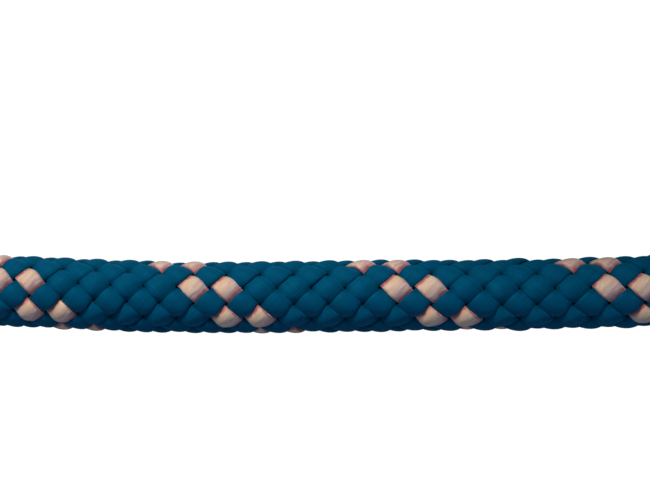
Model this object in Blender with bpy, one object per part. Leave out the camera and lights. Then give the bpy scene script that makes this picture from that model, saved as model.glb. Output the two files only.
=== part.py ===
"""A dynamic climbing rope: twisted core yarns in a plaited sheath, laid out in front of its own stored coil.

The rope starts at a sleeved end, runs along +X, bends round to +Y and joins the bottom turn of a round coil,
which three flat ties hold. The other sleeved end lies on top of the coil. The ground is z = 0.
"""

import math

import bmesh
import bpy
from mathutils import Vector

# Rope
ROPE_DIAMETER = 0.010
ROPE_RADIUS = ROPE_DIAMETER / 2
ROPE_LENGTH = 10.0
GAP = 0.0003  # clearance between pieces that touch

# Sheath: a diamond plait, each strand passing over one and under one
STRANDS_EACH_WAY = 6
CROSSING_STEP = 0.00231  # along the rope, from the counted crossing to the next
STEP_GROWTH = 0.000004  # how much longer each step is, as the plait is tighter towards the first end
STRAND_THICKNESS = 0.0009
STRAND_FILL = 0.84  # a strand's width as a part of the room it has
FIRST_CROSSING = 0.0439  # from the rope's end to the crossing that the others are counted from
FIRST_ROLL = math.radians(-3.0)  # where that crossing stands, turned from straight up
ROLL_RATE = math.radians(-160.0)  # slow roll of the whole plait, per metre
CROSSINGS_BEFORE = 13
CROSSINGS_AFTER = 28

# Core: one straight yarn and a layer of twisted ones round it
CORE_YARN_DIAMETER = 0.0015
CORE_YARNS_AROUND = 6
CORE_LAY_RADIUS = 0.00175
CORE_LEAD = 0.060
CORE_STEP = 0.006
CORE_SIDES = 8

# Ends: a melted plug in a shrunk sleeve
SLEEVE_LENGTH = 0.0113
SLEEVE_WALL = 0.0006
SEAL_PROUD = 0.002
END_LENGTH = SLEEVE_LENGTH + SEAL_PROUD
SEAL_BULGE = [math.radians(a) for a in (30.0, 55.0, 75.0)]  # where the rounded end of the plug has its rings
TURNED_SIDES = 24

# Plain lengths of rope
TUBE_STEP = 1.5 * ROPE_DIAMETER
SQUARE_END = 0.002  # a short first and last stretch, so that the end faces stand square to the rope

# Coil: flat spiral layers, wound inwards and outwards in turn
COIL_LAYERS = 10
TURN_PITCH = 0.0101
LAYER_PITCH = 0.01005
COIL_INNER_TURN = 0.032  # radius of the innermost turn's centreline
TAIL_ANGLE = math.radians(150.0)  # how far the free end goes round on top of the coil
TAIL_CLIMB = math.radians(45.0)  # the part of that in which it climbs off the top layer
TAIL_STEPS = 32
COIL_FACET = math.radians(8.0)

# Ties: flat tapes round the bundle of turns, which they pinch
TIE_ANGLES = [math.radians(a) for a in (60.0, 180.0, 300.0)]
TIE_WIDTH = 0.008
TIE_THICKNESS = 0.0012
TIE_CLEAR_OF_GROUND = 0.0001
PINCH = TIE_CLEAR_OF_GROUND + TIE_THICKNESS + GAP
PINCH_HALF_ANGLE = math.radians(9.0)
PINCH_OUTER_ANGLE = math.radians(16.0)
CORNER_STEPS = 2

# Centreline from the first end to the coil, chosen by hand: the gently bowed run, the bend, the way back
ROUTE = [
    (-0.0750, -0.0896),
    (-0.0600, -0.0901),
    (-0.0450, -0.0908),
    (-0.0310, -0.0912),
    (-0.0170, -0.0911),
    (-0.0030, -0.0909),
    (0.0110, -0.0908),
    (0.0250, -0.0905),
    (0.0350, -0.0900),
    (0.0460, -0.0880),
    (0.0560, -0.0826),
    (0.0638, -0.0742),
    (0.0684, -0.0636),
    (0.0697, -0.0518),
    (0.0699, -0.0388),
    (0.0700, -0.0258),
    (0.0700, -0.0128),
    (0.0700, 0.0002),
    (0.0700, 0.0132),
    (0.0700, 0.0273),
]
CURVE_STEPS = 24  # points read from the smooth curve between two route points


def through_points(points):
    """Points on a smooth curve through the given ones, whose ends keep their direction."""
    padded = [2 * points[0] - points[1], *points, 2 * points[-1] - points[-2]]
    curve = []
    for before, start, end, after in zip(padded, padded[1:], padded[2:], padded[3:]):
        leave = (end - before) / 2
        arrive = (after - start) / 2
        for step in range(CURVE_STEPS):
            t = step / CURVE_STEPS
            curve.append(
                (2 * t**3 - 3 * t**2 + 1) * start
                + (t**3 - 2 * t**2 + t) * leave
                + (3 * t**2 - 2 * t**3) * end
                + (t**3 - t**2) * arrive
            )
    curve.append(points[-1])
    return curve


class Centreline:
    """A curve that gives the place and the directions at any distance along it."""

    def __init__(self, points):
        self.points = points
        self.along = [0.0]
        for a, b in zip(points, points[1:]):
            self.along.append(self.along[-1] + (b - a).length)
        self.length = self.along[-1]

    def at(self, distance):
        """Place, direction along, direction up and direction back at a distance from the start."""
        low, high = 0, len(self.points) - 2
        while low < high:
            middle = (low + high + 1) // 2
            if self.along[middle] <= distance:
                low = middle
            else:
                high = middle - 1
        start, end = self.points[low], self.points[low + 1]
        share = (distance - self.along[low]) / (self.along[low + 1] - self.along[low])
        forward = (end - start).normalized()
        back = Vector((0, 0, 1)).cross(forward).normalized()
        return start.lerp(end, share), forward, forward.cross(back), back

    def around(self, distance, turn, radius):
        """The point at a radius from the curve, turned from straight up towards the back."""
        place, _, up, back = self.at(distance)
        return place + radius * (math.cos(turn) * up + math.sin(turn) * back)


def coil_sizes(laid_out):
    """The coil's turns per layer and its outermost turn's radius, for what is not laid out."""
    per_layer = (ROPE_LENGTH - laid_out) / COIL_LAYERS
    root = math.sqrt(COIL_INNER_TURN**2 + TURN_PITCH * per_layer / math.pi)
    turns = (root - COIL_INNER_TURN) / TURN_PITCH
    return turns, COIL_INNER_TURN + turns * TURN_PITCH


def tail_centreline(centre, start_angle, outer_turn):
    """The free end, which lies on the coil's last turn, from where it has climbed off the top layer."""
    height = ROPE_RADIUS + COIL_LAYERS * LAYER_PITCH
    points = []
    for step in range(TAIL_STEPS + 1):
        angle = TAIL_CLIMB + (TAIL_ANGLE - TAIL_CLIMB) * step / TAIL_STEPS
        radius = outer_turn - TURN_PITCH * (1 - angle / math.tau)
        turned = start_angle + angle
        points.append(centre + Vector((radius * math.cos(turned), radius * math.sin(turned), height)))
    return Centreline(points)


def make_material(name, colour, roughness):
    material = bpy.data.materials.new(name)
    material.use_nodes = True
    shader = material.node_tree.nodes["Principled BSDF"]
    shader.inputs["Base Color"].default_value = (*colour, 1.0)
    shader.inputs["Roughness"].default_value = roughness
    shader.inputs["Metallic"].default_value = 0.0
    material.diffuse_color = (*colour, 1.0)
    return material


def add_object(name, data, material):
    data.materials.append(material)
    piece = bpy.data.objects.new(name, data)
    bpy.context.collection.objects.link(piece)
    return piece


def loft(name, rings, material, closed=False):
    """A solid through rings of points, with a cap on each end unless the rings close on themselves."""
    mesh = bmesh.new()
    made = [[mesh.verts.new(point) for point in ring] for ring in rings]
    pairs = list(zip(made, made[1:]))
    if closed:
        pairs.append((made[-1], made[0]))
    else:
        mesh.faces.new(reversed(made[0]))
        mesh.faces.new(made[-1])
    for ring, after in pairs:
        for i in range(len(ring)):
            j = (i + 1) % len(ring)
            mesh.faces.new((ring[i], ring[j], after[j], after[i]))
    bmesh.ops.recalc_face_normals(mesh, faces=mesh.faces)
    data = bpy.data.meshes.new(name)
    mesh.to_mesh(data)
    mesh.free()
    data.shade_smooth()
    data.set_sharp_from_angle(angle=math.radians(40))
    return add_object(name, data, material)


def crossing_place(crossing):
    """Distance from the rope's end to a crossing of the plait, or to a place between two crossings."""
    return FIRST_CROSSING + crossing * CROSSING_STEP + crossing**2 * STEP_GROWTH


def sheath_strand(name, line, index, hand, material):
    """One strand of the plait, which turns one way round the rope if hand is 1 and the other if it is -1."""
    swing = (STRAND_THICKNESS + GAP) / 2
    mid_radius = ROPE_RADIUS - STRAND_THICKNESS / 2 - swing
    crossing_angle = math.pi / STRANDS_EACH_WAY
    edge_turn = STRAND_FILL * crossing_angle / 2
    rings = []
    for crossing in range(-CROSSINGS_BEFORE, CROSSINGS_AFTER + 1):
        turn = 2 * index * crossing_angle - hand * crossing * crossing_angle
        over = hand * (1 if crossing % 2 == 0 else -1)
        ring = []
        for across, rise in ((0, 1), (1, 0), (0, -1), (-1, 0)):
            at = crossing_place(crossing + across * hand * STRAND_FILL / 2)
            rolled = turn + across * edge_turn + FIRST_ROLL + ROLL_RATE * (at - FIRST_CROSSING)
            radius = mid_radius + over * swing + rise * STRAND_THICKNESS / 2
            ring.append(line.around(at, rolled, radius))
        rings.append(ring)
    return loft(name, rings, material)


def core_yarn(name, line, start, end, index, material):
    """One yarn of the core: index 0 is the straight one, the others lie round it."""
    lay_radius = CORE_LAY_RADIUS if index else 0.0
    steps = round((end - start) / CORE_STEP)
    rings = []
    for step in range(steps + 1):
        distance = start + (end - start) * step / steps
        lay = math.tau * (index / CORE_YARNS_AROUND + distance / CORE_LEAD)
        _, _, up, back = line.at(distance)
        centre = line.around(distance, lay, lay_radius)
        ring = []
        for side in range(CORE_SIDES):
            angle = math.tau * side / CORE_SIDES
            ring.append(centre + CORE_YARN_DIAMETER / 2 * (math.cos(angle) * up + math.sin(angle) * back))
        rings.append(ring)
    return loft(name, rings, material)


def turned_on(line, profile, material, name, closed=False):
    """A solid turned round the centreline, from pairs of distance and radius."""
    rings = []
    for distance, radius in profile:
        turns = [math.tau * side / TURNED_SIDES for side in range(TURNED_SIDES)]
        rings.append([line.around(distance, turn, radius) for turn in turns])
    return loft(name, rings, material, closed)


def rope_end(letter, line, from_end, sleeve_material, seal_material):
    """The sleeve and the melted plug in it. from_end turns a distance from the tip into one on the line."""
    inner = ROPE_RADIUS - SLEEVE_WALL
    sleeve = [
        (from_end(SEAL_PROUD), inner),
        (from_end(SEAL_PROUD), ROPE_RADIUS),
        (from_end(END_LENGTH), ROPE_RADIUS),
        (from_end(END_LENGTH), inner),
    ]
    turned_on(line, sleeve, sleeve_material, f"end_sleeve_{letter}", closed=True)
    plug = inner - GAP
    seal = [(from_end(END_LENGTH), plug), (from_end(SEAL_PROUD), plug)]
    for bulge in SEAL_BULGE:
        seal.append((from_end(SEAL_PROUD * (1 - math.sin(bulge))), plug * math.cos(bulge)))
    turned_on(line, seal, seal_material, f"end_seal_{letter}")


def rope_tube(name, line, start, end, material):
    """A plain length of rope: a bevelled curve with square ends."""
    data = bpy.data.curves.new(name, "CURVE")
    data.dimensions = "3D"
    data.bevel_depth = ROPE_RADIUS
    data.bevel_resolution = 3
    data.use_fill_caps = True
    steps = round((end - start) / TUBE_STEP)
    stops = [start + (end - start) * step / steps for step in range(steps + 1)]
    stops[1:1] = [start + SQUARE_END]
    stops[-1:-1] = [end - SQUARE_END]
    spline = data.splines.new("POLY")
    spline.points.add(len(stops) - 1)
    for point, stop in zip(spline.points, stops):
        point.co = (*line.at(stop)[0], 1.0)
    spline.use_smooth = True
    return add_object(name, data, material)


def bundle_outline(outer_turn, grow):
    """The outline of the coil's bundle of turns, as pairs of radius and height, grown or shrunk."""
    low = ROPE_RADIUS
    high = COIL_LAYERS * LAYER_PITCH - GAP - ROPE_RADIUS
    corners = (
        (outer_turn, low, -90),
        (outer_turn, high, 0),
        (COIL_INNER_TURN, high, 90),
        (COIL_INNER_TURN, low, 180),
    )
    outline = []
    for radius, height, first in corners:
        for step in range(CORNER_STEPS + 1):
            angle = math.radians(first + 90 * step / CORNER_STEPS)
            reach = ROPE_RADIUS + grow
            outline.append((radius + reach * math.cos(angle), height + reach * math.sin(angle)))
    return outline


def coiled_rope(centre, outer_turn, material):
    """The outer shape of the coil: a turned ring, pinched where a tie goes round it."""
    full = bundle_outline(outer_turn, 0.0)
    pinched = bundle_outline(outer_turn, -PINCH)
    sections = []
    for tie, following in zip(TIE_ANGLES, TIE_ANGLES[1:] + [TIE_ANGLES[0] + math.tau]):
        sections += [(tie - PINCH_HALF_ANGLE, pinched), (tie + PINCH_HALF_ANGLE, pinched)]
        first = tie + PINCH_OUTER_ANGLE
        last = following - PINCH_OUTER_ANGLE
        steps = round((last - first) / COIL_FACET)
        sections += [(first + (last - first) * step / steps, full) for step in range(steps + 1)]
    rings = []
    for angle, outline in sections:
        outwards = Vector((math.cos(angle), math.sin(angle), 0))
        rings.append([centre + radius * outwards + Vector((0, 0, height)) for radius, height in outline])
    return loft("coiled_rope", rings, material, closed=True)


def coil_tie(name, centre, outer_turn, angle, material):
    """A flat tape round the bundle, as a closed band."""
    outwards = Vector((math.cos(angle), math.sin(angle), 0))
    sideways = Vector((-math.sin(angle), math.cos(angle), 0))
    inside = bundle_outline(outer_turn, GAP - PINCH)
    outside = bundle_outline(outer_turn, GAP - PINCH + TIE_THICKNESS)
    facet = math.cos(PINCH_HALF_ANGLE)
    rings = []
    for near, far in zip(inside, outside):
        ring = []
        for (radius, height), side in ((near, -1), (far, -1), (far, 1), (near, 1)):
            place = centre + radius * facet * outwards + side * TIE_WIDTH / 2 * sideways
            ring.append(place + Vector((0, 0, height)))
        rings.append(ring)
    return loft(name, rings, material, closed=True)


def build_run(line, sheath, tracer, core):
    """The laid-out run, as the strands and yarns that it is made of. Returns where its strands end."""
    for number in range(STRANDS_EACH_WAY):
        is_tracer = number < 2
        name = f"tracer_strand_{number + 1}" if is_tracer else f"sheath_strand_z{number + 1}"
        sheath_strand(name, line, number, 1, tracer if is_tracer else sheath)
        sheath_strand(f"sheath_strand_s{number + 1}", line, number, -1, sheath)
    end = crossing_place(CROSSINGS_AFTER + STRAND_FILL / 2)
    for number in range(CORE_YARNS_AROUND + 1):
        core_yarn(f"core_yarn_{number}", line, END_LENGTH + GAP, end, number, core)
    return end


def main():
    for item in list(bpy.data.objects):
        bpy.data.objects.remove(item, do_unlink=True)

    sheath = make_material("sheath_blue", (0.003, 0.075, 0.145), 0.55)
    tracer = make_material("sheath_tracer", (0.72, 0.36, 0.27), 0.5)
    core = make_material("core_white", (0.80, 0.79, 0.75), 0.7)
    sleeve = make_material("sleeve_black", (0.02, 0.02, 0.022), 0.35)
    seal = make_material("melted_sheath", (0.01, 0.03, 0.05), 0.25)
    tape = make_material("tie_tape", (0.03, 0.03, 0.035), 0.8)

    run = Centreline(through_points([Vector((x, y, ROPE_RADIUS)) for x, y in ROUTE]))
    tail_length = TAIL_ANGLE * (COIL_INNER_TURN + 3 * TURN_PITCH)
    turns, outer_turn = coil_sizes(run.length + tail_length)
    joins_coil = run.points[-1]
    centre = Vector((joins_coil.x - outer_turn, joins_coil.y, 0))

    rope_end("a", run, lambda distance: distance, sleeve, seal)
    run_end = build_run(run, sheath, tracer, core)
    clear_of_coil = math.sqrt((outer_turn + 2 * ROPE_RADIUS + GAP) ** 2 - outer_turn**2)
    rope_tube("lead_in_rope", run, run_end + GAP, run.length - clear_of_coil, sheath)

    coiled_rope(centre, outer_turn, sheath)
    for number, angle in enumerate(TIE_ANGLES, 1):
        coil_tie(f"coil_tie_{number}", centre, outer_turn, angle, tape)

    tail = tail_centreline(centre, COIL_LAYERS * turns * math.tau, outer_turn)
    rope_tube("tail_rope", tail, 0.0, tail.length - END_LENGTH - GAP, sheath)
    rope_end("b", tail, lambda distance: tail.length - distance, sleeve, seal)


main()
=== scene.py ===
"""The looks of the dynamic climbing rope: its sheath strand by strand where the camera sees it, and the
whole stored length with its ends and ties. Lengths are in metres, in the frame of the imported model."""

import math

import bmesh
import bpy
import numpy as np
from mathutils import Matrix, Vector


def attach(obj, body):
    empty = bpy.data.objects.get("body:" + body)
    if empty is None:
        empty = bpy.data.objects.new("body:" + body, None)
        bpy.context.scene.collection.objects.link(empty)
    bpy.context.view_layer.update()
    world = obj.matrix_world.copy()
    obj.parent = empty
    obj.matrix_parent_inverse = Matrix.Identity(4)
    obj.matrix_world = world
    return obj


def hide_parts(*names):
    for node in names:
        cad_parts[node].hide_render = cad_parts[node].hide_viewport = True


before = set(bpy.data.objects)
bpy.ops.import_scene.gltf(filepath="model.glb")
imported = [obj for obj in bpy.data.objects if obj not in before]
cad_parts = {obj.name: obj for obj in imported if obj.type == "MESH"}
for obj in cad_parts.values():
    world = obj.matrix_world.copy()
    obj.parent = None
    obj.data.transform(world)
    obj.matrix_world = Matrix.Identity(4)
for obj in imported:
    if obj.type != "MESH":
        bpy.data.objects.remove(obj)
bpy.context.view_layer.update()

# ---------------------------------------------------------------------------------------------------------
# The rope's own dimensions, the same as the CAD model's
# ---------------------------------------------------------------------------------------------------------
ROPE_DIAMETER = 0.010
ROPE_RADIUS = ROPE_DIAMETER / 2
ROPE_LENGTH = 10.0
GAP = 0.0003  # between neighbouring pieces
STRANDS_EACH_WAY = 6
STRAND_ANGLE = math.tau / STRANDS_EACH_WAY  # from one strand to the next of its family
FIRST_CROSSING = 0.0439  # distance from the rope's end to crossing 0
CROSSING_STEP = 0.00231
STEP_GROWTH = 0.000004
FIRST_ROLL = math.radians(-3.0)
ROLL_RATE = math.radians(-160.0)  # per metre
CROSSINGS_AFTER = 28  # the run's last crossing
TRACERS = (0, 1)

END_LENGTH = 0.0133
COIL_LAYERS = 10
TURN_PITCH = 0.0101
LAYER_PITCH = 0.01005
COIL_INNER_TURN = 0.032
TAIL_ANGLE = math.radians(150.0)
CLIMB_ANGLE = math.radians(45.0)  # in which the rope climbs from a layer to the next
TIE_ANGLES = [math.radians(a) for a in (60.0, 180.0, 300.0)]
TIE_WIDTH = 0.008
TIE_THICKNESS = 0.0012
PINCH = 0.0016  # how much a tie narrows the bundle of turns on each side
PINCH_FULL = math.radians(9.0)
PINCH_NONE = math.radians(20.0)

# Centreline from the first end to the coil, the same points as in the CAD model
ROUTE = [
    (-0.0750, -0.0896),
    (-0.0600, -0.0901),
    (-0.0450, -0.0908),
    (-0.0310, -0.0912),
    (-0.0170, -0.0911),
    (-0.0030, -0.0909),
    (0.0110, -0.0908),
    (0.0250, -0.0905),
    (0.0350, -0.0900),
    (0.0460, -0.0880),
    (0.0560, -0.0826),
    (0.0638, -0.0742),
    (0.0684, -0.0636),
    (0.0697, -0.0518),
    (0.0699, -0.0388),
    (0.0700, -0.0258),
    (0.0700, -0.0128),
    (0.0700, 0.0002),
    (0.0700, 0.0132),
    (0.0700, 0.0273),
]


# ---------------------------------------------------------------------------------------------------------
# Centreline
# ---------------------------------------------------------------------------------------------------------
def through_points(points, steps=24):
    """Points on a smooth curve through the given ones, whose ends keep their direction."""
    points = np.array(points, float)
    padded = np.vstack([2 * points[0] - points[1], points, 2 * points[-1] - points[-2]])
    t = np.linspace(0, 1, steps, endpoint=False)[:, None]
    curve = []
    for before, start, end, after in zip(padded, padded[1:], padded[2:], padded[3:]):
        leave = (end - before) / 2
        arrive = (after - start) / 2
        curve.append(
            (2 * t**3 - 3 * t**2 + 1) * start
            + (t**3 - 2 * t**2 + t) * leave
            + (3 * t**2 - 2 * t**3) * end
            + (t**3 - t**2) * arrive
        )
    return np.vstack(curve + [points[-1:]])


def smooth_step(t):
    t = np.clip(t, 0, 1)
    return t * t * (3 - 2 * t)


def length_of(points):
    return float(np.linalg.norm(np.diff(points, axis=0), axis=1).sum())


def coil_turns(laid_out):
    """Turns in each layer of the coil and the radius of its outermost turn, for what is not laid out."""
    per_layer = (ROPE_LENGTH - laid_out) / COIL_LAYERS
    root = math.sqrt(COIL_INNER_TURN**2 + TURN_PITCH * per_layer / math.pi)
    turns = (root - COIL_INNER_TURN) / TURN_PITCH
    return turns, COIL_INNER_TURN + turns * TURN_PITCH


def near_tie(angle):
    """1 at a tie and 0 well away from all of them."""
    to_tie = np.min([np.abs((angle - tie + math.pi) % math.tau - math.pi) for tie in TIE_ANGLES], axis=0)
    return 1 - smooth_step((to_tie - PINCH_FULL) / (PINCH_NONE - PINCH_FULL))


def wound(centre, turns, outer_turn):
    """The coil's centreline: flat spirals wound inwards and outwards in turn, then the tail on top."""
    layer_angle = turns * math.tau
    angle = np.arange(0, COIL_LAYERS * layer_angle + TAIL_ANGLE, math.radians(1.0))
    layer = np.minimum(np.floor(angle / layer_angle), COIL_LAYERS)
    within = angle - layer * layer_angle
    from_outer = np.where(layer % 2 == 0, within, layer_angle - within)
    radius = outer_turn - TURN_PITCH * from_outer / math.tau
    climbed = np.where(layer > 0, smooth_step(within / CLIMB_ANGLE), 1.0)
    height = ROPE_RADIUS + LAYER_PITCH * (layer - 1 + climbed)

    # The tail rolls outwards over the last turn as it climbs on to it
    in_tail = layer == COIL_LAYERS
    rolled = np.where(in_tail, climbed, 0.0) * math.pi / 2
    on_last_turn = TURN_PITCH * (np.cos(rolled) - 1 + within / math.tau)
    radius = np.where(in_tail, outer_turn + on_last_turn, radius)
    height = np.where(in_tail, ROPE_RADIUS + LAYER_PITCH * (layer - 1 + np.sin(rolled)), height)

    # The ties pinch the bundle towards its middle, and leave the tail on top as it is
    pinched = near_tie(angle) * np.where(in_tail, 1 - climbed, 1.0)
    middle_radius = (COIL_INNER_TURN + outer_turn) / 2
    half_width = (outer_turn - COIL_INNER_TURN) / 2 + ROPE_RADIUS
    half_height = COIL_LAYERS * LAYER_PITCH / 2
    radius = middle_radius + (radius - middle_radius) * (1 - pinched * PINCH / half_width)
    height = half_height + (height - half_height) * (1 - pinched * PINCH / half_height)
    return np.column_stack([centre[0] + radius * np.cos(angle), centre[1] + radius * np.sin(angle), height])


class Line:
    """A centreline that gives places round it at any distances along it, all as arrays."""

    def __init__(self, points):
        self.points = points
        steps = np.linalg.norm(np.diff(points, axis=0), axis=1)
        self.along = np.concatenate([[0], np.cumsum(steps)])
        self.length = float(self.along[-1])
        forward = np.gradient(points, self.along, axis=0)
        forward /= np.linalg.norm(forward, axis=1)[:, None]
        self.back = np.cross([0, 0, 1], forward)
        self.back /= np.linalg.norm(self.back, axis=1)[:, None]
        self.up = np.cross(forward, self.back)

    def read(self, values, distance):
        return np.stack([np.interp(distance, self.along, values[:, axis]) for axis in range(3)], axis=-1)

    def around(self, distance, turn, radius):
        """Places at a radius from the line, turned from straight up towards the back."""
        out = np.cos(turn)[..., None] * self.read(self.up, distance)
        out = out + np.sin(turn)[..., None] * self.read(self.back, distance)
        return self.read(self.points, distance) + np.asarray(radius)[..., None] * out


def make_line():
    """The whole centreline, with the coil's centre and the radius of its outermost turn."""
    run = through_points([(x, y, ROPE_RADIUS) for x, y in ROUTE])
    tail_length = TAIL_ANGLE * (COIL_INNER_TURN + 3 * TURN_PITCH)  # about, on the outermost turn
    turns, outer_turn = coil_turns(length_of(run) + tail_length)
    centre = run[-1][:2] - (outer_turn, 0)
    coil = wound(centre, turns, outer_turn)
    return Line(np.vstack([run, coil[1:]])), centre, outer_turn


def crossing_place(crossing):
    """Distance from the rope's end to a crossing. The steps grow as far as the run's last crossing."""
    inside = np.minimum(crossing, CROSSINGS_AFTER)
    last_step = CROSSING_STEP + 2 * CROSSINGS_AFTER * STEP_GROWTH
    return FIRST_CROSSING + inside * CROSSING_STEP + inside**2 * STEP_GROWTH + (crossing - inside) * last_step


def crossing_at(distance):
    """The crossing nearest to a distance, by halving."""
    low, high = -20.0, 2 * ROPE_LENGTH / CROSSING_STEP
    halvings = 60  # as fine as a number can be
    for _ in range(halvings):
        middle = (low + high) / 2
        low, high = (middle, high) if crossing_place(middle) < distance else (low, middle)
    return low


LINE, COIL_CENTRE, OUTER_TURN = make_line()
RUN_START = END_LENGTH + GAP
SEAM = float(crossing_place(CROSSINGS_AFTER))


# ---------------------------------------------------------------------------------------------------------
# Meshes and materials: helpers
# ---------------------------------------------------------------------------------------------------------
def make_mesh(name, places, quads, materials=(), face_material=None, uv=None, shade=None):
    """An object from arrays. uv and shade are per face corner, in the order of the quads' corners."""
    quads = np.asarray(quads, np.int32)
    mesh = bpy.data.meshes.new(name)
    mesh.vertices.add(len(places))
    mesh.vertices.foreach_set("co", np.asarray(places, np.float32).ravel())
    mesh.loops.add(quads.size)
    mesh.loops.foreach_set("vertex_index", quads.ravel())
    mesh.polygons.add(len(quads))
    mesh.polygons.foreach_set("loop_start", np.arange(0, quads.size, quads.shape[1], dtype=np.int32))
    if face_material is not None:
        mesh.polygons.foreach_set("material_index", np.asarray(face_material, np.int32))
    if uv is not None:
        layer = mesh.uv_layers.new(name="along_across")
        layer.data.foreach_set("uv", np.asarray(uv, np.float32).ravel())
    if shade is not None:
        attribute = mesh.attributes.new("float_place", "FLOAT2", "CORNER")
        attribute.data.foreach_set("vector", np.asarray(shade, np.float32).ravel())
    mesh.update(calc_edges=True)
    mesh.shade_smooth()
    for material in materials:
        mesh.materials.append(material)
    piece = bpy.data.objects.new(name, mesh)
    bpy.context.collection.objects.link(piece)
    return piece


def node(tree, kind, inputs=None, **settings):
    made = tree.nodes.new(kind)
    for key, value in settings.items():
        setattr(made, key, value)
    for key, value in (inputs or {}).items():
        if isinstance(value, bpy.types.NodeSocket):
            tree.links.new(value, made.inputs[key])
        else:
            made.inputs[key].default_value = value
    return made


def new_material(name):
    material = bpy.data.materials.new(name)
    material.use_nodes = True
    return material, material.node_tree, material.node_tree.nodes["Principled BSDF"]


def ramp(tree, factor, stops):
    made = node(tree, "ShaderNodeValToRGB", {"Fac": factor})
    elements = made.color_ramp.elements
    while len(elements) < len(stops):
        elements.new(0.5)
    for element, (place, colour) in zip(elements, stops):
        element.position = place
        element.color = (*colour, 1.0)
    return made.outputs["Color"]


def mix(tree, factor, first, second):
    made = node(tree, "ShaderNodeMix", data_type="RGBA")
    for socket, value in ((made.inputs[0], factor), (made.inputs[6], first), (made.inputs[7], second)):
        if isinstance(value, bpy.types.NodeSocket):
            tree.links.new(value, socket)
        else:
            socket.default_value = value
    return made.outputs[2]


def math_node(tree, operation, first, second=0.0):
    made = node(tree, "ShaderNodeMath", operation=operation)
    for socket, value in zip(made.inputs, (first, second)):
        if isinstance(value, bpy.types.NodeSocket):
            tree.links.new(value, socket)
        else:
            socket.default_value = value
    return made.outputs[0]


def stretched_noise(tree, scale, stretch, detail=3.0):
    """Noise in a strand's own directions, drawn out along it, or across it where stretch is below 1."""
    uv = node(tree, "ShaderNodeUVMap", uv_map="along_across").outputs[0]
    mapped = node(tree, "ShaderNodeMapping", {"Vector": uv, "Scale": (scale / stretch, scale, 1.0)})
    noise = node(tree, "ShaderNodeTexNoise", {"Vector": mapped.outputs[0], "Scale": 1.0, "Detail": detail})
    return noise.outputs["Fac"]


def separate(tree, vector):
    return node(tree, "ShaderNodeSeparateXYZ", {"Vector": vector}).outputs


def object_place(tree):
    return node(tree, "ShaderNodeTexCoord").outputs["Object"]


def noise_in(tree, place, scale, detail, distortion=0.0):
    """Even noise at a place, about as many blobs per metre as the scale."""
    inputs = {"Vector": place, "Scale": scale, "Detail": detail, "Distortion": distortion}
    return node(tree, "ShaderNodeTexNoise", inputs).outputs["Fac"]


def between(tree, value, low, high):
    """0 where the value is low or less, 1 where it is high or more, smooth between."""
    made = node(tree, "ShaderNodeMapRange", {"Value": value, "From Min": low, "From Max": high})
    made.interpolation_type = "SMOOTHSTEP"
    return made.outputs["Result"]


def bump(tree, shader, height, distance, strength):
    made = node(tree, "ShaderNodeBump", {"Height": height, "Strength": strength, "Distance": distance})
    tree.links.new(made.outputs["Normal"], shader.inputs["Normal"])


# ---------------------------------------------------------------------------------------------------------
# Materials
# ---------------------------------------------------------------------------------------------------------
BLUE_SHADES = [(0.0, 0.070, 0.147), (0.0, 0.081, 0.169), (0.0, 0.094, 0.193)]
# Painted shade in the corner cells of a stored float, where the strands cross.
BLUE_PIT_SHADE = (0.0, 0.046, 0.096)
BLUE_SOFT = (0.0, 0.078, 0.172)  # in broad patches over the streaks
# Painted shade in the deepest corner of a float, where the strands cross.
BLUE_DEEP_SHADE = (0.0, 0.018, 0.040)  # in the deepest corner of a float
# The tracer's own colour in four bands along a stored float, with painted light: a pale painted highlight
# band, then darker painted shade in the last band, where it goes under.
TRACER_BANDS_AND_ARCH_SHADING = [(0.84, 0.49, 0.34), (0.80, 0.54, 0.37), (0.82, 0.54, 0.43), (0.65, 0.37, 0.34)]
# Painted shade, dull red, on side cells of a stored tracer float.
TRACER_RED_SHADE = (0.42, 0.10, 0.10)
# A painted sheen highlight, in pale streaks across a float.
TRACER_SHEEN_STREAK = (0.88, 0.66, 0.52)  # in streaks across the float
# Painted shade, dark red, in a ragged rim round a float where it meets its neighbours.
TRACER_EDGE_SHADE = (0.46, 0.09, 0.09)
# The tracer's own peach and pink, with painted light over each float's arch: a pale painted highlight band
# past the middle, and darker dull red painted shade at its ends, where it dips under its neighbours.
TRACER_COLOURS_AND_ARCH_SHADING = [  # from the end where a float comes up to the end where it goes under
    (0.00, (0.80, 0.38, 0.28)),
    (0.12, (0.86, 0.51, 0.34)),
    (0.34, (0.80, 0.54, 0.36)),
    (0.52, (0.72, 0.47, 0.35)),
    (0.66, (0.88, 0.58, 0.48)),
    (0.78, (0.64, 0.36, 0.34)),
    (1.00, (0.66, 0.26, 0.24)),
]
FILAMENT_RELIEF = 0.00007
PLY_RELIEF, ARCH_RELIEF, BACK_RELIEF = 1.6, 4.5, 1.0  # in filament heights


def yarn_sheen(shader, roughness, specular, tint, sheen, sheen_tint):
    """How a bundle of fine filaments shines: weakly, in the yarn's own colour, and softly along its edges."""
    shader.inputs["Roughness"].default_value = roughness
    shader.inputs["Specular IOR Level"].default_value = specular
    shader.inputs["Specular Tint"].default_value = (*tint, 1.0)
    shader.inputs["Sheen Weight"].default_value = sheen
    shader.inputs["Sheen Roughness"].default_value = 0.5
    shader.inputs["Sheen Tint"].default_value = (*sheen_tint, 1.0)


def blue_sheen(shader):
    yarn_sheen(shader, 0.55, 0.10, (0.05, 0.55, 0.85), 0.45, (0.0, 0.5, 1.0))


def tracer_sheen(shader):
    yarn_sheen(shader, 0.45, 0.25, (0.85, 0.85, 1.0), 1.0, (0.95, 0.90, 1.0))


def place_on_float(tree):
    """How far a point is from the middle of its float, as along and across, each -1 to 1."""
    place = node(tree, "ShaderNodeAttribute", attribute_name="float_place").outputs["Vector"]
    along, across, _ = separate(tree, place)
    return along, across


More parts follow.
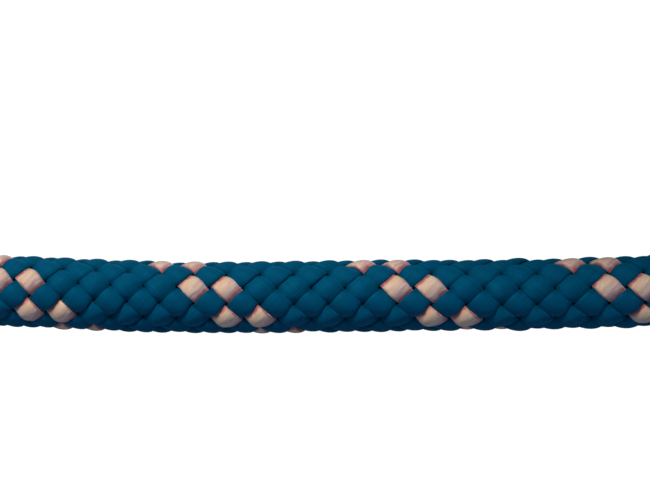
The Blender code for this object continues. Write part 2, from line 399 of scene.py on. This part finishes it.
def filaments(tree, shader):
    """The relief of fine parallel filaments in plies, on floats that arch over the strand below."""
    along, across = place_on_float(tree)
    fine = stretched_noise(tree, 7000.0, 26.0, 2.0)
    plies = stretched_noise(tree, 500.0, 1 / 4, 1.0)
    grain = math_node(tree, "ADD", fine, math_node(tree, "MULTIPLY", plies, PLY_RELIEF))
    arch = math_node(tree, "MULTIPLY", math_node(tree, "MULTIPLY", along, along), ARCH_RELIEF)
    back = math_node(tree, "MULTIPLY", math_node(tree, "MULTIPLY", across, across), BACK_RELIEF)
    height = math_node(tree, "SUBTRACT", grain, math_node(tree, "ADD", arch, back))
    bump(tree, shader, height, FILAMENT_RELIEF, 0.6)


def yarn_shades():
    """The plain yarn materials of the stored rope, whose streaks and bands are its own small faces; the dark
    blue corner shade and the tracer bands hold painted light and shade.
    """
    shades = []
    blues = [*BLUE_SHADES, BLUE_PIT_SHADE]
    for number, colour in enumerate([*blues, *TRACER_BANDS_AND_ARCH_SHADING, TRACER_RED_SHADE]):
        is_blue = number < len(blues)
        material, _, shader = new_material(f"{'blue' if is_blue else 'tracer'}_shade_{number + 1}")
        shader.inputs["Base Color"].default_value = (*colour, 1.0)
        if is_blue:
            blue_sheen(shader)
        else:
            tracer_sheen(shader)
        shades.append(material)
    return shades


def blue_yarn():
    """Dark blue filaments in fine streaks and soft patches, with painted shade darkening the corners of each
    float.
    """
    material, tree, shader = new_material("blue_yarn")
    streaks = stretched_noise(tree, 2400.0, 12.0)
    colour = ramp(tree, streaks, list(zip((0.3, 0.5, 0.7), BLUE_SHADES)))
    soft = stretched_noise(tree, 260.0, 2.0, 1.0)
    colour = mix(tree, between(tree, soft, 0.35, 0.7), colour, (*BLUE_SOFT, 1.0))
    along, across = place_on_float(tree)
    # Painted shade darkens each float towards its corners, where the strands cross.
    to_end, to_side = math_node(tree, "ABSOLUTE", along), math_node(tree, "ABSOLUTE", across)
    corner = math_node(tree, "MULTIPLY", to_end, to_side)
    pit = math_node(tree, "MULTIPLY", between(tree, corner, 0.2, 1.0), 0.75)
    colour = mix(tree, pit, colour, (*BLUE_DEEP_SHADE, 1.0))
    tree.links.new(colour, shader.inputs["Base Color"])
    blue_sheen(shader)
    filaments(tree, shader)
    return material


def tracer_yarn():
    """The tracer's own peach and pink with painted light along each float: a pale painted highlight band past
    the middle, dull red painted shade at its ends where it dips under, pale streaks of painted sheen across
    it and a ragged rim of red painted shade.
    """
    material, tree, shader = new_material("tracer_yarn")
    along, across = place_on_float(tree)
    wander = math_node(tree, "SUBTRACT", stretched_noise(tree, 420.0, 1.5, 2.0), 0.5)
    shifted = math_node(tree, "ADD", along, math_node(tree, "MULTIPLY", wander, 0.9))
    position = math_node(tree, "ADD", math_node(tree, "MULTIPLY", shifted, 0.5), 0.5)
    # Painted light and shade along the float's arch, over the tracer's own colour.
    colour = ramp(tree, position, TRACER_COLOURS_AND_ARCH_SHADING)
    # Pale streaks across the float are a painted sheen highlight.
    streaks = stretched_noise(tree, 600.0, 1 / 5)
    colour = mix(tree, between(tree, streaks, 0.45, 0.75), colour, (*TRACER_SHEEN_STREAK, 1.0))
    # Painted shade: a ragged dark red rim round the float where it meets and dips under its neighbours.
    to_side = math_node(tree, "ABSOLUTE", across)
    to_edge = math_node(tree, "MAXIMUM", to_side, math_node(tree, "ABSOLUTE", along))
    ragged_shade = between(tree, stretched_noise(tree, 1100.0, 1.8, 2.0), 0.30, 0.62)
    uneven_edge = math_node(tree, "ADD", to_edge, math_node(tree, "MULTIPLY", ragged_shade, 0.16))
    red = between(tree, uneven_edge, 0.80, 1.08)
    colour = mix(tree, red, colour, (*TRACER_EDGE_SHADE, 1.0))
    tree.links.new(colour, shader.inputs["Base Color"])
    tracer_sheen(shader)
    filaments(tree, shader)
    return material


def core_yarn():
    """White filaments, seen as slanting bands of a twisted yarn; the greyer bands are painted shade between
    its turns.
    """
    material, tree, shader = new_material("core_yarn")
    inputs = {"Vector": object_place(tree), "Scale": 900.0, "Distortion": 2.0}
    bands = node(tree, "ShaderNodeTexWave", inputs, bands_direction="DIAGONAL").outputs["Fac"]
    colour = ramp(tree, bands, [(0.0, (0.62, 0.60, 0.55)), (1.0, (0.84, 0.83, 0.79))])
    tree.links.new(colour, shader.inputs["Base Color"])
    shader.inputs["Roughness"].default_value = 0.75
    bump(tree, shader, bands, 0.0001, 0.6)
    return material


def sleeve_plastic():
    """Shrunk tubing: satin black, with shallow wrinkles and fine wear."""
    material, tree, shader = new_material("sleeve_plastic")
    place = object_place(tree)
    wear = noise_in(tree, place, 1600.0, 4.0)
    stops = [(0.35, (0.014, 0.014, 0.016)), (0.62, (0.022, 0.022, 0.024)), (0.75, (0.06, 0.06, 0.062))]
    tree.links.new(ramp(tree, wear, stops), shader.inputs["Base Color"])
    roughness = node(tree, "ShaderNodeMapRange", {"Value": wear, "To Min": 0.28, "To Max": 0.48})
    tree.links.new(roughness.outputs["Result"], shader.inputs["Roughness"])
    bump(tree, shader, noise_in(tree, place, 500.0, 2.0), 0.0003, 0.35)
    return material


def melted_yarn():
    """Sheath and core melted together: dark, glossy and uneven, with streaks of the tracers."""
    material, tree, shader = new_material("melted_yarn")
    place = object_place(tree)
    swirl = noise_in(tree, place, 420.0, 3.0, 1.5)
    stops = [
        (0.35, (0.003, 0.022, 0.042)),
        (0.55, (0.008, 0.050, 0.085)),
        (0.68, (0.10, 0.075, 0.06)),
        (0.80, (0.30, 0.19, 0.13)),
    ]
    tree.links.new(ramp(tree, swirl, stops), shader.inputs["Base Color"])
    shader.inputs["Roughness"].default_value = 0.22
    bump(tree, shader, noise_in(tree, place, 1300.0, 3.0), 0.0003, 0.5)
    return material


def woven_tape():
    """Flat black webbing: ribs across the tape, crossed by the warp, lighter on the ribs and darker between
    them as painted light and shade, and a paler thread at each side.
    """
    material, tree, shader = new_material("woven_tape")
    uv = node(tree, "ShaderNodeUVMap", uv_map="along_across").outputs[0]
    along, across, _ = separate(tree, uv)
    rib = math_node(tree, "SINE", math_node(tree, "MULTIPLY", along, math.tau / TAPE_RIB))
    warp = math_node(tree, "SINE", math_node(tree, "MULTIPLY", across, math.tau / TAPE_WARP))
    weave = math_node(tree, "MULTIPLY", rib, warp)
    edge = between(tree, math_node(tree, "ABSOLUTE", across), 0.36 * TIE_WIDTH, 0.42 * TIE_WIDTH)
    # The weave's tops lighter and its hollows darker: painted light and shade.
    lit = math_node(tree, "ADD", math_node(tree, "MULTIPLY", weave, 0.5), 0.5)
    colour = ramp(tree, lit, [(0.1, (0.016, 0.016, 0.018)), (0.9, (0.060, 0.060, 0.064))])
    colour = mix(tree, edge, colour, (0.085, 0.088, 0.095, 1.0))
    tree.links.new(colour, shader.inputs["Base Color"])
    shader.inputs["Roughness"].default_value = 0.8
    shader.inputs["Specular IOR Level"].default_value = 0.3
    bump(tree, shader, weave, 0.00012, 0.8)
    return material


def stitching():
    """Grey sewing thread, with painted light and shade on the turns of its twist."""
    material, tree, shader = new_material("stitching")
    inputs = {"Vector": object_place(tree), "Scale": 2500.0}
    twist = node(tree, "ShaderNodeTexWave", inputs, bands_direction="DIAGONAL").outputs["Fac"]
    colour = ramp(tree, twist, [(0.0, (0.36, 0.36, 0.35)), (1.0, (0.62, 0.62, 0.60))])
    tree.links.new(colour, shader.inputs["Base Color"])
    shader.inputs["Roughness"].default_value = 0.6
    return material


# ---------------------------------------------------------------------------------------------------------
# Sheath
# ---------------------------------------------------------------------------------------------------------
PROUD = 0.00009  # how far the floats of loosely lying rope stand out from its nominal size
STRAND_SWING = 0.00046  # out over one crossing and in under the next
STRAND_THICKNESS = 2 * STRAND_SWING  # where strands cross, so that they touch there
STRAND_THINNING = 0.00005  # how much thinner a strand is halfway between its crossings
SECTION_POWER = 0.8  # of the sine; below 1, so a strand's section is fuller than an ellipse
MID_RADIUS = ROPE_RADIUS + PROUD - STRAND_SWING - STRAND_THICKNESS / 2
ROOM = STRAND_ANGLE / 2  # half the room of a strand, as a turn in its own direction
FLOAT_BULGE = 0.08  # how much wider a float is in its middle than at its ends, as a share
BLUE_WIDTH, TRACER_WIDTH = 1.0, 0.92  # of the room of a strand, over a crossing
UNEVENNESS = 0.00006  # how far a float stands out more or less than the others, in each of two waves
WRAP_RADIUS = 0.0036
WRAP_STEP = 0.002  # from one ring of the core wrap to the next
WRAP_SHORT = 0.0002  # how far before the seam the core wrap ends
SLANTED_END = 0.55  # how far a strand's oblique cross-section reaches, in crossings
END_TAPER = 0.12
TAPER_LENGTH = 0.004
STRAND_PATTERN_SHIFT = 0.053  # from a strand's place in the filament pattern to the next strand's
# Along a strand, from one of its crossings to the next
STRAND_PITCH = math.hypot(CROSSING_STEP, STRAND_ANGLE / 2 * (MID_RADIUS + STRAND_SWING))

# The stored rope, whose sheath is one net of cells
CELLS = 4  # along each side of a float
COLUMNS = STRANDS_EACH_WAY * CELLS
GROOVE_DEPTH = 0.00050  # between floats
CORNER_DEPTH = 0.00035  # how much deeper the groove is at a float's corners
STREAK_EDGES = (-0.35, 0.45)  # between the blue shades
# Cells past this share get the painted pit shade.
CORNER_SHARE = 0.5  # of along times across, beyond which a cell is in the corner pit


def plait_turn(distance):
    """The slow roll of the whole plait at a distance along the rope."""
    return FIRST_ROLL + ROLL_RATE * (distance - FIRST_CROSSING)


def unevenness(number, crossing):
    """How far a strand stands out at a crossing: every strand has its own slow rise and fall."""
    quick = np.sin(1.9 * crossing + 2.3 * number)
    slow = np.sin(0.67 * crossing - 1.7 * number)
    return UNEVENNESS * (quick + slow)


def end_taper(into_sheath):
    """The sheath narrows where it goes into its sleeve."""
    return 1 - END_TAPER * smooth_step(1 - into_sheath / TAPER_LENGTH)


def strand_uv(number, crossing, across):
    """Metres along and across a strand, with each strand's filaments somewhere else in the pattern."""
    along = crossing * STRAND_PITCH + number * STRAND_PATTERN_SHIFT
    return np.stack(np.broadcast_arrays(along, across * STRAND_PITCH / 2), axis=-1)


def grid_quads(rows, columns):
    """Quads of a grid of points whose columns close on themselves."""
    row, column = np.meshgrid(np.arange(rows - 1), np.arange(columns), indexing="ij")
    after = (column + 1) % columns
    corners = [(row, column), (row, after), (row + 1, after), (row + 1, column)]
    return np.stack([r * columns + c for r, c in corners], axis=-1).reshape(-1, 4)


def capped(places, quads, sides):
    """Closes both ends of a tube of rings with fans of quads round a middle point."""
    rings = len(places) // sides
    caps = []
    for ring, direction in ((0, -1), (rings - 1, 1)):
        middle = len(places)
        first = ring * sides
        places = np.vstack([places, places[first : first + sides].mean(axis=0)])
        for side in range(0, sides, 2):
            three = [first + (side + k) % sides for k in range(3)]
            caps.append([middle, *three[::direction]])
    return places, np.vstack([quads, caps])


def strand(name, index, hand, material):
    """A strand of the laid-out run, from the sleeve to the seam. The hand is 1 or -1, the way it winds."""
    stations, sides = 16, 28
    number = index if hand > 0 else STRANDS_EACH_WAY + index
    first = (crossing_at(RUN_START) - SLANTED_END) * stations
    last = (CROSSINGS_AFTER + SLANTED_END) * stations
    crossing = np.arange(math.floor(first), math.ceil(last) + 1) / stations
    angle = math.tau * np.arange(sides) / sides
    crossing, angle = np.meshgrid(crossing, angle, indexing="ij")
    over = hand * np.cos(math.pi * crossing)
    widest = TRACER_WIDTH if hand > 0 and index in TRACERS else BLUE_WIDTH
    width = ROOM * widest * (1.0 + FLOAT_BULGE * (np.cos(math.tau * crossing) - 1) / 2)
    across = width * np.cos(angle)
    thickness = STRAND_THICKNESS - STRAND_THINNING * np.sin(math.pi * crossing) ** 2
    rise = np.sign(np.sin(angle)) * np.abs(np.sin(angle)) ** SECTION_POWER * thickness / 2
    radius = MID_RADIUS + STRAND_SWING * over + rise + unevenness(number, crossing)
    distance = crossing_place(crossing + hand * across / STRAND_ANGLE)
    turn = STRAND_ANGLE * index - hand * crossing * STRAND_ANGLE / 2 + across / 2 + plait_turn(distance)
    radius = radius * end_taper(distance - RUN_START)
    places = LINE.around(np.clip(distance, RUN_START, SEAM), turn, radius).reshape(-1, 3)

    places, quads = capped(places, grid_quads(*crossing.shape), sides)
    sideways = across / ROOM
    middles = np.zeros((2, 2))
    uv = np.vstack([strand_uv(number, crossing, sideways).reshape(-1, 2), middles])
    to_float = 2 * ((crossing + (0 if hand > 0 else 1) + 1) % 2 - 1)
    shade = np.vstack([np.stack([np.clip(to_float, -1, 1), sideways], axis=-1).reshape(-1, 2), middles])
    return make_mesh(name, places, quads, [material], uv=uv[quads], shade=shade[quads])


def plaited_run(blue, tracer):
    """The twelve strands of the laid-out run."""
    pieces = []
    for index in range(STRANDS_EACH_WAY):
        is_tracer = index in TRACERS
        cad_name = f"tracer_strand_{index + 1}" if is_tracer else f"sheath_strand_z{index + 1}"
        pieces.append((strand(f"plait_z{index + 1}", index, 1, tracer if is_tracer else blue), cad_name))
        pieces.append((strand(f"plait_s{index + 1}", index, -1, blue), f"sheath_strand_s{index + 1}"))
    for piece, cad_name in pieces:
        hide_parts(cad_name)
        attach(piece, "root")
    return [piece for piece, _ in pieces]


def core_wrap():
    """The wrapped core inside the laid-out run: a closed tube under the strands, as places and quads."""
    sides = 24
    distance = np.append(np.arange(RUN_START, SEAM - WRAP_STEP / 2, WRAP_STEP), SEAM - WRAP_SHORT)
    turn = math.tau * np.arange(sides) / sides
    distance, turn = np.meshgrid(distance, turn, indexing="ij")
    places = LINE.around(distance, turn, np.full(turn.shape, WRAP_RADIUS)).reshape(-1, 3)
    places, quads = capped(places, grid_quads(*distance.shape), sides)
    return places, quads[:, ::-1]


def float_bands(strand_number, row, across, along, tracer):
    """Which shade each cell has: blue in streaks with corners in painted shade, a tracer in bands of its
    colour and painted arch light, with some sides in red painted shade.
    """
    streak = np.sin(7.1 * strand_number + 2.7 * row + 9.3 * across)
    blue = np.digitize(streak, STREAK_EDGES)
    # Corner cells take the painted pit shade.
    blue[np.abs(across * along) > CORNER_SHARE] = len(BLUE_SHADES)
    first_band = len(BLUE_SHADES) + 1
    # Tracer cells take a band by how far along the float: the tracer's colour with painted arch light and
    # shade.
    band = first_band + np.clip(((along + 1) * len(TRACER_BANDS_AND_ARCH_SHADING) / 2).astype(int), 0, len(TRACER_BANDS_AND_ARCH_SHADING) - 1)
    # Some side cells towards where the float goes under take the red painted shade.
    shaded_side = (np.abs(across) > 0.5) & (along > 0) & (streak > 0)
    band[shaded_side] = first_band + len(TRACER_BANDS_AND_ARCH_SHADING)
    return np.where(tracer, band, blue)


def across_strand(count, half_cells=0):
    """The strand and how far across it, -1 to 1, at a count of cells and half cells round the rope."""
    return count // CELLS, (2 * (count % CELLS) + half_cells) / CELLS - 1


def net_knots(first, last, end):
    """Places of the net's knots, row by row. Strands z wind one way and strands s the other."""
    z, n = np.meshgrid(np.arange(COLUMNS), np.arange(first, last + 1), indexing="xy")
    strand_z, across_z = across_strand(z)
    strand_s, across_s = across_strand(z - n)
    z_over = (strand_z + strand_s) % 2 == 0
    across = np.where(z_over, across_z, across_s)
    along = np.where(z_over, across_s, across_z)
    pillow = (1 - np.abs(across) ** 4) ** 0.5 * np.cos(along * math.pi / 2) ** 0.8
    groove = ROPE_RADIUS - GROOVE_DEPTH - CORNER_DEPTH * across_z**2 * across_s**2
    radius = groove + (ROPE_RADIUS - groove) * pillow
    bulge = FLOAT_BULGE * np.where(z_over, 1, -1)
    turn_z = (strand_z + across_z * (1 + bulge * (1 - across_s**2)) / 2) * STRAND_ANGLE
    turn_s = (strand_s + across_s * (1 - bulge * (1 - across_z**2)) / 2) * STRAND_ANGLE
    distance = crossing_place((turn_z - turn_s) / STRAND_ANGLE)
    turn = (turn_z + turn_s) / 2 + plait_turn(distance)
    radius = radius * end_taper(end - distance)
    return LINE.around(np.clip(distance, SEAM, end), turn, radius).reshape(-1, 3)


def net_cells(first, rows):
    """The net's cells as quads, with the shade of each."""
    row, column = np.meshgrid(np.arange(1, rows - 1), np.arange(COLUMNS), indexing="ij")
    row, column = row.ravel(), column.ravel()
    after = (column + 1) % COLUMNS
    corners = [(row, column), (row + 1, after), (row, after), (row - 1, column)]
    quads = np.stack([r * COLUMNS + c for r, c in corners], axis=-1)
    strand_z, across_z = across_strand(column, 1)
    strand_s, across_s = across_strand(column - (row + first), 1)
    z_over = (strand_z + strand_s) % 2 == 0
    along = np.where(z_over, -across_s, across_z)
    across = np.where(z_over, across_z, across_s)
    strand_number = np.where(z_over, strand_z, STRANDS_EACH_WAY + strand_s % STRANDS_EACH_WAY)
    is_tracer = z_over & np.isin(strand_z, TRACERS)
    return quads, float_bands(strand_number, strand_z - strand_s, across, along, is_tracer)


def net_ends(rows):
    """Quads that close the zigzag ends of the net round the two middle points that come after its knots."""
    first_middle = rows * COLUMNS
    top = (rows - 1) * COLUMNS
    start = [[(c - 1) % COLUMNS, COLUMNS + c, c, first_middle] for c in range(COLUMNS)]
    stop = []
    for c in range(COLUMNS):
        after = (c + 1) % COLUMNS
        stop.append([top - COLUMNS + after, top + after, top - COLUMNS + c, first_middle + 1])
    return np.array(start + stop)


def stored_rope(shades):
    """The whole rope as one mesh: the wrapped core inside the run, then the sheath as a net of floats."""
    end = LINE.length - END_LENGTH - GAP
    first = CROSSINGS_AFTER * CELLS - 1
    last = math.ceil(crossing_at(end) * CELLS) + 1
    rows = last - first + 1
    middles = [LINE.read(LINE.points, np.array([stop]))[0] for stop in (SEAM, end)]
    places = np.vstack([net_knots(first, last, end), middles])
    quads, bands = net_cells(first, rows)
    wrap_places, wrap_quads = core_wrap()
    plain = np.vstack([net_ends(rows), wrap_quads + len(places)])
    piece = make_mesh(
        "plaited_rope",
        np.vstack([places, wrap_places]),
        np.vstack([quads, plain]),
        shades,
        face_material=np.concatenate([bands, np.zeros(len(plain), int)]),
    )
    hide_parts("lead_in_rope", "coiled_rope", "tail_rope")
    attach(piece, "root")


# ---------------------------------------------------------------------------------------------------------
# Ends and ties
# ---------------------------------------------------------------------------------------------------------
SLEEVE_PROFILE = [  # distance to the tip and radius, in millimetres, round the far edge and out to the tip
    (13.2, 4.42), (14.2, 4.58), (14.4, 4.72), (14.3, 4.85), (13.9, 4.93), (13.2, 4.97), (11.5, 4.98),
    (9.0, 4.97), (6.5, 4.92), (4.0, 4.98), (2.6, 4.93), (1.9, 4.78), (1.65, 4.55), (1.75, 4.35), (2.2, 4.30),
]
SEAL_PROFILE = [
    (13.2, 4.0), (3.0, 4.1), (1.6, 4.05), (1.1, 3.85), (0.65, 3.3), (0.35, 2.5), (0.12, 1.4), (0.05, 0.5),
]
LUMPS = 0.00006  # of a melted end
WRINKLES = 0.00002  # of a sleeve
TAPE_RIB = 0.0007
TAPE_WARP = 0.0005
TAPE_EDGE = 0.0003
TAPE_CROWN = 1.02  # its thickness in the middle, as a share of the rest
TAPE_STEP = 0.0015
CUT_ANGLE = math.radians(0.6)  # how near a turn's points are to count as cut by the tie's plane
BELOW_TAIL = 0.0005
LAP_START = 0.036  # height at which the tape starts, under its other end
LAP_LENGTH = 0.030
LAP_LIFT = 1.1 * TIE_THICKNESS
STITCH_LENGTH, STITCH_RADIUS, STITCH_SPACING = 0.0022, 0.00022, 0.0022


def turned(name, from_tip, profile, lumps, closed, material):
    """A solid turned round the rope from its profile, made a little uneven."""
    sides = 48
    distance, radius = np.array(profile).T / 1000
    turn = math.tau * np.arange(sides) / sides
    distance, turn = np.meshgrid(from_tip(distance), turn, indexing="ij")
    wave = np.sin(3 * turn + 900 * distance) + 0.6 * np.sin(7 * turn - 2300 * distance)
    radius = radius[:, None] + lumps * wave * np.minimum(radius / ROPE_RADIUS, 1)[:, None]
    places = LINE.around(distance, turn, radius).reshape(-1, 3)
    if closed:
        quads = grid_quads(len(profile) + 1, sides) % len(places)
    else:
        quads = grid_quads(len(profile), sides)
        places, quads = capped(places, quads, sides)
    if from_tip(1.0) < from_tip(0.0):
        quads = quads[:, ::-1]
    return make_mesh(name, places, quads, [material])


def rope_end(letter, from_tip, sleeve_material, seal_material):
    """A shrunk sleeve with soft edges round the end of the sheath, and the lumpy melted plug in it."""
    sleeve = turned(f"shrunk_sleeve_{letter}", from_tip, SLEEVE_PROFILE, WRINKLES, True, sleeve_material)
    seal = turned(f"melted_end_{letter}", from_tip, SEAL_PROFILE, LUMPS, False, seal_material)
    for piece, cad_name, slot in (
        (sleeve, f"end_sleeve_{letter}", "end_sleeve"),
        (seal, f"end_seal_{letter}", "melted_end"),
    ):
        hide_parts(cad_name)
        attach(piece, "root")
    return [sleeve, seal]


def turns_at(angle):
    """Radius and height of the bundle's turns where they cross the plane of a tie."""
    from_centre = LINE.points[:, :2] - COIL_CENTRE
    to_tie = (np.arctan2(from_centre[:, 1], from_centre[:, 0]) - angle + math.pi) % math.tau - math.pi
    radius, height = np.linalg.norm(from_centre, axis=1), LINE.points[:, 2]
    tail_height = COIL_LAYERS * LAYER_PITCH + ROPE_RADIUS - BELOW_TAIL
    in_bundle = (radius < OUTER_TURN + GAP) & (height < tail_height)
    return np.column_stack([radius, height])[in_bundle & (np.abs(to_tie) < CUT_ANGLE)]


def tape_route(angle):
    """The tape's inner face, pulled tight round the turns: radius, height and outward direction."""
    turns = turns_at(angle)
    turn = np.radians(np.arange(-180, 180, 5.0))
    outwards = np.column_stack([np.cos(turn), np.sin(turn)])
    touched = turns[np.argmax(turns @ outwards.T, axis=0)] + ROPE_RADIUS * outwards
    once_round = np.hstack([touched, outwards])
    twice_round = np.vstack([once_round, once_round, once_round[:1]])
    steps = np.linalg.norm(np.diff(twice_round[:, :2], axis=0), axis=1)
    along = np.concatenate([[0], np.cumsum(steps)])
    length = along[len(turn)]
    outer_side = np.abs(turn) < math.pi / 2
    start = np.interp(LAP_START, touched[outer_side, 1], along[: len(turn)][outer_side])
    stops = np.arange(start, start + length + LAP_LENGTH, TAPE_STEP)
    route = np.stack([np.interp(stops, along, column) for column in twice_round.T], axis=-1)
    # After once round, the tape climbs on to its own start
    lapped = smooth_step((stops - start - length + TAPE_STEP * 4) / (TAPE_STEP * 3))
    route[:, :2] += (LAP_LIFT * lapped)[:, None] * route[:, 2:]
    return route, stops


def at_tie(angle, radius, height, side):
    """Places at a radius from the coil's axis and at a height, each moved to the side of a tie's plane."""
    outwards = np.array([math.cos(angle), math.sin(angle), 0])
    sideways = np.array([-math.sin(angle), math.cos(angle), 0])
    centre = np.array([*COIL_CENTRE, 0.0])
    flat = centre + np.multiply.outer(radius, outwards) + np.multiply.outer(side, sideways)
    return (flat + np.multiply.outer(height, [0, 0, 1])).reshape(-1, 3)


def tape_band(angle, route, along):
    """The tape with its rounded edges, as places, quads and metres along and across it."""
    half, edge, thick = TIE_WIDTH / 2, TAPE_EDGE, TIE_THICKNESS
    section = [(-half + edge, 0), (0, 0), (half - edge, 0), (half, edge), (half, thick - edge)]
    section += [(half - edge, thick), (0, thick * TAPE_CROWN), (-half + edge, thick)]
    section += [(-half, thick - edge), (-half, edge)]
    side, through = np.array(section).T
    radius = route[:, 0:1] + route[:, 2:3] * through
    height = route[:, 1:2] + route[:, 3:4] * through
    sides = np.broadcast_to(side, radius.shape)
    places = at_tie(angle, radius, height, sides)
    places, quads = capped(places, grid_quads(len(route), len(section)), len(section))
    metres = np.stack([np.broadcast_to(along[:, None], sides.shape), sides], axis=-1).reshape(-1, 2)
    return places, quads[:, ::-1], np.vstack([metres, np.zeros((2, 2))])


def stitches(angle, route):
    """Rows of three short bars of thread on the lap of the tape, as places and quads."""
    on_lap = route[-round(LAP_LENGTH / TAPE_STEP) + 1 : -1 : 2]
    spots = on_lap[:, :2] + TIE_THICKNESS * on_lap[:, 2:]
    turn = math.tau * np.arange(6) / 6
    t, turn = np.meshgrid(np.array([-1.0, -0.75, 0.0, 0.75, 1.0]), turn, indexing="ij")
    bar_radius = STITCH_RADIUS * np.sqrt(1.04 - t**2)  # rounded, without a sharp point at the ends
    places, quads = [], []
    for outside, height in spots:
        for side in (-STITCH_SPACING, 0.0, STITCH_SPACING):
            outer, up = outside + bar_radius * np.cos(turn), height + t * STITCH_LENGTH / 2
            bar = at_tie(angle, outer, up, side + bar_radius * np.sin(turn))
            bar, bar_quads = capped(bar, grid_quads(*turn.shape), turn.shape[1])
            quads.append(bar_quads + sum(map(len, places)))
            places.append(bar)
    return np.vstack(places), np.vstack(quads)


def coil_tie(number, angle, tape, thread):
    """A flat woven tape pulled round the coil's bundle of turns, its outer end stitched down."""
    route, along = tape_route(angle)
    places, quads, metres = tape_band(angle, route, along)
    stitch_places, stitch_quads = stitches(angle, route)
    all_quads = np.vstack([quads, stitch_quads + len(places)])
    uv = np.vstack([metres, np.zeros((len(stitch_places), 2))])
    piece = make_mesh(
        f"woven_tie_{number}",
        np.vstack([places, stitch_places]),
        all_quads,
        [tape, thread],
        face_material=np.arange(len(all_quads)) >= len(quads),
        uv=uv[all_quads],
    )
    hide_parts(f"coil_tie_{number}")
    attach(piece, "root")


# ---------------------------------------------------------------------------------------------------------
# Stage: floor, light and camera
# ---------------------------------------------------------------------------------------------------------
VIEW_WIDTH = 0.09104  # what the camera sees at the rope
VIEW_ELEVATION = math.radians(68.0)
VIEW_CENTRE_X = -0.0128
ABOVE_ROPE = 0.0074  # the middle of the view, above the rope in the picture
LENS = 200.0  # in millimetres, long, for little perspective
POINTS_IN_VIEW = 10  # of the route, those before it turns towards the coil

SEEN_WHITE = 1.05  # floor and room as the camera sees them
FLOOR_COLOUR = (0.20, 0.20, 0.22)  # as the light sees it
FLOOR_HEIGHT = -0.0004  # just under the floats
ROOM_COLOUR = (0.60, 0.78, 1.0)
ROOM_STRENGTH = 0.15
KEY_PLACE = (-0.40, 0.47, 1.05)
KEY_SIZE = 0.4
KEY_POWER = 13.0
KEY_COLOUR = (1.0, 0.96, 0.88)
FILL_PLACE = (0.40, -1.11, 0.48)
FILL_SIZE = 0.8
FILL_POWER = 1.8
FILL_COLOUR = (0.50, 0.70, 1.0)


def make_camera():
    data = bpy.data.cameras.new("camera")
    data.lens = LENS
    camera = bpy.data.objects.new("camera", data)
    bpy.context.collection.objects.link(camera)
    away = Vector((0, -math.cos(VIEW_ELEVATION), math.sin(VIEW_ELEVATION)))
    up = Vector((0, math.sin(VIEW_ELEVATION), math.cos(VIEW_ELEVATION)))
    rope_y = float(np.interp(VIEW_CENTRE_X, *np.array(ROUTE[:POINTS_IN_VIEW]).T))
    rope = Vector((VIEW_CENTRE_X, rope_y, ROPE_RADIUS))
    distance = VIEW_WIDTH * data.lens / data.sensor_width
    camera.location = rope + up * ABOVE_ROPE + away * distance
    camera.rotation_mode = "QUATERNION"
    camera.rotation_quaternion = away.to_track_quat("Z", "Y")
    bpy.context.scene.camera = camera


def area_light(name, place, target, size, power, colour):
    data = bpy.data.lights.new(name, "AREA")
    data.shape = "DISK"
    data.size = size
    data.energy = power
    data.color = colour
    light = bpy.data.objects.new(name, data)
    light.location = place
    light.rotation_mode = "QUATERNION"
    light.rotation_quaternion = (Vector(place) - Vector(target)).to_track_quat("Z", "Y")
    bpy.context.collection.objects.link(light)


def white_to_camera(tree, shader, white_kind, output):
    """Lets the camera see plain white, and everything else the shader."""
    white = node(tree, white_kind, {"Color": (1, 1, 1, 1), "Strength": SEEN_WHITE})
    path = node(tree, "ShaderNodeLightPath")
    inputs = {0: path.outputs["Is Camera Ray"], 1: shader.outputs[0], 2: white.outputs[0]}
    chosen = node(tree, "ShaderNodeMixShader", inputs)
    tree.links.new(chosen.outputs[0], tree.nodes[output].inputs["Surface"])


def make_floor():
    mesh = bmesh.new()
    bmesh.ops.create_grid(mesh, x_segments=1, y_segments=1, size=4.0)
    data = bpy.data.meshes.new("floor")
    mesh.to_mesh(data)
    mesh.free()
    floor = bpy.data.objects.new("floor", data)
    floor.location.z = FLOOR_HEIGHT
    bpy.context.collection.objects.link(floor)
    material, tree, shader = new_material("floor_white")
    shader.inputs["Base Color"].default_value = (*FLOOR_COLOUR, 1)
    shader.inputs["Roughness"].default_value = 1.0
    white_to_camera(tree, shader, "ShaderNodeEmission", "Material Output")
    data.materials.append(material)


def make_room():
    world = bpy.data.worlds.new("soft_room")
    bpy.context.scene.world = world
    world.use_nodes = True
    soft = world.node_tree.nodes["Background"]
    soft.inputs["Color"].default_value = (*ROOM_COLOUR, 1)
    soft.inputs["Strength"].default_value = ROOM_STRENGTH
    white_to_camera(world.node_tree, soft, "ShaderNodeBackground", "World Output")


def make_lights():
    target = (VIEW_CENTRE_X, ROUTE[4][1], ROPE_RADIUS)
    area_light("key", KEY_PLACE, target, KEY_SIZE, KEY_POWER, KEY_COLOUR)
    area_light("fill", FILL_PLACE, target, FILL_SIZE, FILL_POWER, FILL_COLOUR)
    bpy.context.scene.view_settings.view_transform = "Standard"


# ---------------------------------------------------------------------------------------------------------
# Everything together
# ---------------------------------------------------------------------------------------------------------
make_camera()
make_floor()
make_room()
make_lights()
blue = blue_yarn()
tracer = tracer_yarn()
sleeve = sleeve_plastic()
melted = melted_yarn()
tape = woven_tape()
thread = stitching()
run_pieces = plaited_run(blue, tracer)
run_pieces += rope_end("a", lambda distance: distance, sleeve, melted)
run_pieces += rope_end("b", lambda distance: LINE.length - distance, sleeve, melted)
stored_rope(yarn_shades())
for number, angle in enumerate(TIE_ANGLES, 1):
    coil_tie(number, angle, tape, thread)
core = core_yarn()
for name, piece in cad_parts.items():
    if name.startswith("core_yarn"):
        piece.data.materials.clear()
        piece.data.materials.append(core)
